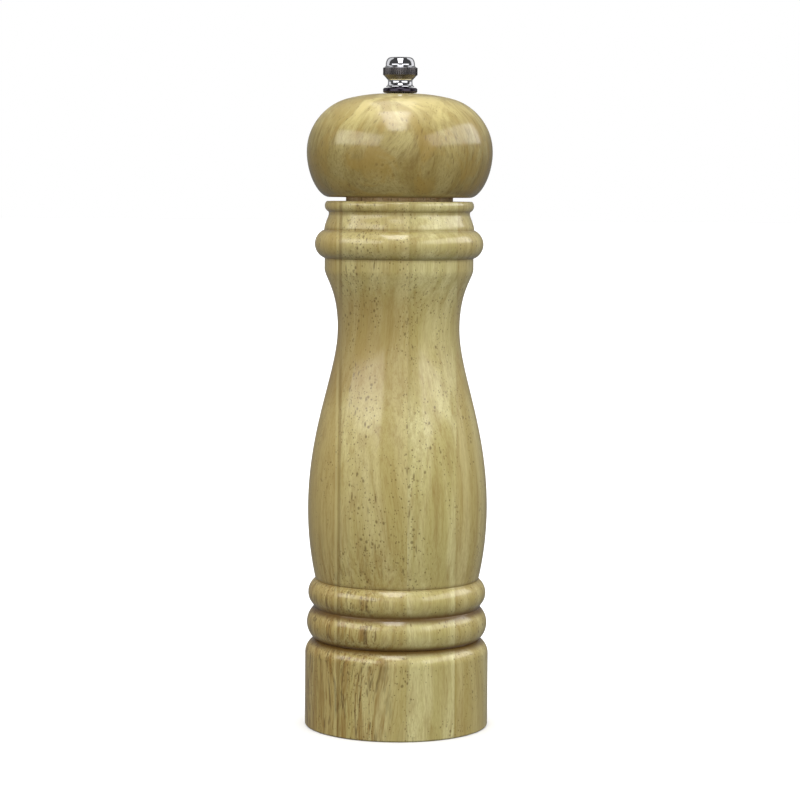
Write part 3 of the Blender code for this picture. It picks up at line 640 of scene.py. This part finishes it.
def metal_material(name, tint, roughness, lines):
    """Bare or plated metal: fine drawn or brushed lines, so many a millimetre, and an uneven polish."""
    s = Shader(name, Metallic=1.0, Roughness=roughness)
    point = s.position()
    streaks = s.noise(s.vector("MULTIPLY", point, lines), 4.0, 0.6)
    clouds = s.noise(s.vector("MULTIPLY", point, (0.25, 0.25, 0.25)), 3.0, 0.5)
    darker = tuple(channel * 0.72 for channel in tint[:3]) + (1.0,)
    blend = s.math("ADD", s.math("MULTIPLY", streaks, 0.6), s.math("MULTIPLY", clouds, 0.4))
    s.feed(s.surface.inputs["Base Color"], s.mix(s.ramp(blend, 0.35, 0.7), tint, darker))
    polish = s.ramp(blend, 0.3, 0.7, roughness - 0.04, roughness + 0.08)
    s.feed(s.surface.inputs["Roughness"], polish)
    s.bump(streaks, 0.01, 0.35)
    return s.material


def bending_spring(material):
    """Copy of the CAD spring that is squeezed between the washer, which stays, and the moving rotor."""
    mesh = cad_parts["compression_spring"].data.copy()
    coil = bpy.data.objects.new("spring_coil", mesh)
    bpy.context.scene.collection.objects.link(coil)
    coil.data.materials.clear()
    coil.data.materials.append(material)
    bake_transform(coil)
    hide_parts("compression_spring")


def repaint(material, *nodes):
    """Give a finished material to CAD nodes whose shape stays."""
    for node in nodes:
        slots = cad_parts[node].data.materials
        slots.clear()
        slots.append(material)


def knurl(radius, height, angle, band, crest):
    """Straight knurling on the band between two heights."""
    if band[0] - 0.05 < height < band[-1] + 0.05 and radius > crest - 0.15:
        return radius - KNURL_DEPTH * (0.5 - 0.5 * math.cos(KNURL_TEETH * angle))
    return radius


def knob_chrome(neck_top, band_top):
    """Bright chrome, darker and rougher on the cone and on the knurled band between the two heights."""
    s = Shader("knob_chrome", Metallic=1.0, Roughness=0.07)
    z = s.node("ShaderNodeSeparateXYZ", None, Vector=s.position()).outputs["Z"]
    above_neck = s.ramp(z, neck_top - 0.1, neck_top + 0.3)
    darker_zone = s.math("MULTIPLY", above_neck, s.ramp(z, band_top + 0.1, band_top - 0.1))
    grain = s.noise(s.vector("MULTIPLY", s.position(), (0.9, 0.9, 3.0)), 3.0, 0.5)
    bright = s.mix(s.ramp(grain, 0.35, 0.65), colour(244, 244, 247), colour(232, 233, 238))
    dark = s.mix(grain, colour(92, 92, 96), colour(126, 120, 118))
    s.feed(s.surface.inputs["Base Color"], s.mix(darker_zone, bright, dark))
    polish = s.ramp(grain, 0.3, 0.7, 0.05, 0.09)
    s.feed(s.surface.inputs["Roughness"], s.math("ADD", polish, s.math("MULTIPLY", darker_zone, 0.2)))
    return s.material


def near_black_metal():
    """The near-black metal of the disc under the knob."""
    s = Shader("near_black_metal", Metallic=1.0)
    grain = s.noise(s.vector("MULTIPLY", s.position(), (0.8, 0.8, 5.0)), 3.0, 0.5)
    s.feed(s.surface.inputs["Base Color"], s.mix(grain, colour(66, 60, 72), colour(88, 82, 92)))
    s.feed(s.surface.inputs["Roughness"], s.ramp(grain, 0.3, 0.7, 0.22, 0.32))
    return s.material


def turned_knob():
    """The chrome knob, with its fine knurling."""
    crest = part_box("adjusting_knob")[1].x / MM
    outline = section_of("adjusting_knob", 0)
    band = sorted(height for radius, height in outline if radius > crest - 0.02)
    neck_top = max(height for _, height in outline if height < band[0] - 0.5)

    def shaped(radius, height, angle):
        return knurl(radius, height, angle, band, crest)

    knob = spin_loop("adjusting_knob_turned", smooth_loop(outline, corner=34, step=0.16), 336, shaped)
    knob.data.materials.append(knob_chrome(neck_top, band[-1]))
    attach(knob, "knob")
    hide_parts("adjusting_knob")
    return knob


def turned_disc():
    """The dark disc below the knob, with rounded edges."""
    disc = spin_loop("knob_disc_turned", section_of("knob_disc", 0), 128)
    soften_edges(disc, 0.1)
    disc.data.materials.append(near_black_metal())
    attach(disc, "disc")
    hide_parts("knob_disc")
    return disc


# ---------------------------------------------------------------- stage


def add_camera():
    """The photograph's view."""
    data = bpy.data.cameras.new("camera")
    data.lens = LENS_MM
    data.sensor_width = SENSOR_MM
    data.clip_start = 0.05
    data.clip_end = 20
    camera = bpy.data.objects.new("camera", data)
    bpy.context.scene.collection.objects.link(camera)
    turn = Matrix.Rotation(math.radians(CAMERA_YAW), 4, "Z")
    tip = Matrix.Rotation(math.radians(90 - CAMERA_PITCH), 4, "X")
    roll = Matrix.Rotation(math.radians(CAMERA_ROLL), 4, "Z")
    place = Matrix.Translation((0, -CAMERA_DISTANCE * MM, CAMERA_HEIGHT * MM))
    camera.matrix_world = place @ turn @ tip @ roll
    bpy.context.scene.camera = camera


def area_light(name, place, aim, size, radiance, receivers):
    """A softbox of the given size in metres; its light falls on the receivers only."""
    data = bpy.data.lights.new(name, "AREA")
    data.shape = "RECTANGLE"
    data.size, data.size_y = size
    data.energy = math.pi * radiance * size[0] * size[1]
    light = bpy.data.objects.new(name, data)
    light.location = place
    light.rotation_euler = (Vector(aim) - Vector(place)).to_track_quat("-Z", "Y").to_euler()
    light.light_linking.receiver_collection = receivers
    bpy.context.scene.collection.objects.link(light)
    return light


def add_lights(mill, knob, head, ground):
    """Panels and strips give the lacquer its highlights; cards light the wood, and others the knob."""
    for name, place, aim, size, radiance, lights_wood in PANELS:
        area_light(name, place, aim, size, radiance, mill).visible_diffuse = lights_wood
    for name, place, size, radiance in FILLS:
        area_light(name, place, FILL_AIM, size, radiance, mill).visible_glossy = False
    area_light(*LOW_CARD, head).visible_glossy = False
    for azimuth, elevation, width, height, radiance in KNOB_CARDS:
        turn = Matrix.Rotation(math.radians(azimuth), 3, "Z")
        lift = Matrix.Rotation(math.radians(-elevation), 3, "X")
        place = KNOB_AIM + turn @ lift @ Vector((0, -KNOB_CARD_DISTANCE, 0))
        name = f"knob_card_{azimuth}_{elevation}"
        area_light(name, place, KNOB_AIM, (width, height), radiance, knob)
    add_floor_lamp(ground)


def add_floor_lamp(ground):
    """A very soft lamp for the floor alone, which keeps the mill's shadow faint."""
    lamp = bpy.data.lights.new("floor_lamp", "SUN")
    lamp.energy = FLOOR_LAMP
    lamp.angle = math.radians(120)
    sun = bpy.data.objects.new("floor_lamp", lamp)
    sun.light_linking.receiver_collection = ground
    bpy.context.scene.collection.objects.link(sun)


def add_surround():
    """A dim room with a paler wall behind and a glow from the floor, seen as plain white by the camera."""
    world = bpy.data.worlds.new("surround")
    world.use_nodes = True
    nodes, links = world.node_tree.nodes, world.node_tree.links
    direction = nodes.new("ShaderNodeSeparateXYZ")
    links.new(nodes.new("ShaderNodeTexCoord").outputs["Generated"], direction.inputs[0])
    wall = world_glow(world, direction.outputs["Y"], 0.15, 0.6, WALL_GLOW)
    ground = world_glow(world, direction.outputs["Z"], 0.02, -0.2, FLOOR_GLOW)
    seen = nodes.new("ShaderNodeLightPath").outputs["Is Camera Ray"]
    strength = world_brighter(world, world_brighter(world, wall, ground), seen)
    links.new(strength, nodes["Background"].inputs["Strength"])
    nodes["Background"].inputs["Color"].default_value = (1, 1, 1, 1)
    bpy.context.scene.world = world


def world_glow(world, value, start, end, glow):
    """Strength that rises from the dim room's to glow as value runs from start to end."""
    fade = world.node_tree.nodes.new("ShaderNodeMapRange")
    fade.interpolation_type = "SMOOTHSTEP"
    fade.inputs["From Min"].default_value = start
    fade.inputs["From Max"].default_value = end
    fade.inputs["To Min"].default_value = ROOM_DIM
    fade.inputs["To Max"].default_value = glow
    world.node_tree.links.new(value, fade.inputs["Value"])
    return fade.outputs["Result"]


def world_brighter(world, a, b):
    """The larger of two strengths."""
    larger = world.node_tree.nodes.new("ShaderNodeMath")
    larger.operation = "MAXIMUM"
    world.node_tree.links.new(a, larger.inputs[0])
    world.node_tree.links.new(b, larger.inputs[1])
    return larger.outputs[0]


def add_floor():
    """Plain pale floor that runs back out of sight."""
    bm = bmesh.new()
    bmesh.ops.create_grid(bm, x_segments=1, y_segments=1, size=FLOOR_HALF)
    mesh = bpy.data.meshes.new("floor")
    bm.to_mesh(mesh)
    bm.free()
    floor = bpy.data.objects.new("floor", mesh)
    bpy.context.scene.collection.objects.link(floor)
    paper = Shader("floor_paper", Roughness=0.9, Specular_IOR_Level=0.0)
    paper.surface.inputs["Base Color"].default_value = (FLOOR_ALBEDO, FLOOR_ALBEDO, FLOOR_ALBEDO, 1)
    floor.data.materials.append(paper.material)
    floor.visible_diffuse = False
    floor.visible_glossy = False
    return floor


def group(name, objects):
    """A collection for the lights to aim at."""
    collection = bpy.data.collections.new(name)
    for obj in objects:
        collection.objects.link(obj)
    return collection


def turn_body():
    """The body: lacquered outside, bare in the chamber, on the base and on the lip's inner part."""
    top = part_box("body_shell")[1].z / MM

    def is_bare(radius, height, normal):
        inside = radius < CHAMBER_REACH and height < top
        return inside or normal.z < -0.99 or (normal.z > 0.99 and radius < LIP_REACH)

    grooves = grooves_of(section_of("body_shell", 3))
    material = body_wood(grooves)
    turned_wood("body_turned", "body_shell", "body", "body_wood", material, is_bare)


def turn_head():
    """The head: lacquered but for its tenon and flat underside."""
    tenon_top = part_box("head")[0].z / MM + TENON_SHOWS

    def is_bare(radius, height, normal):
        return height < tenon_top and (radius < TENON_REACH or normal.z < -0.9)

    return turned_wood("head_turned", "head", "head", "head_wood", head_wood(), is_bare)


def finish_works():
    """Materials for the metal pieces inside, and a copy of the spring."""
    plated = metal_material("plated_sheet", (0.72, 0.72, 0.70, 1), 0.30, (0.3, 6.0, 6.0))
    repaint(plated, "shaft_bridge", "retainer_bar", "drive_plate", "thrust_washer", "rotor_washer")
    shaft = metal_material("shaft_steel", (0.66, 0.66, 0.65, 1), 0.26, (9.0, 9.0, 0.15))
    repaint(shaft, "drive_shaft")
    burr = metal_material("burr_steel", (0.24, 0.24, 0.25, 1), 0.42, (4.0, 4.0, 1.0))
    repaint(burr, "stator_burr", "rotor_burr")
    spring = metal_material("spring_steel", (0.45, 0.45, 0.46, 1), 0.24, (5.0, 5.0, 5.0))
    repaint(spring, "rotor_clip")
    bending_spring(spring)
    zinc = metal_material("screw_zinc", (0.76, 0.75, 0.70, 1), 0.28, (5.0, 5.0, 5.0))
    repaint(zinc, *(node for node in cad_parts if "screw" in node))


def main():
    turn_body()
    head = turn_head()
    bright = [turned_knob(), turned_disc()]
    finish_works()
    mill = [obj for obj in bpy.data.objects if obj.type == "MESH" and obj not in bright]
    floor = add_floor()
    add_lights(
        group("mill", mill), group("knob", bright), group("head", [head]), group("ground", [floor])
    )
    add_surround()
    add_camera()
    bpy.context.scene.view_settings.view_transform = "Standard"


main()
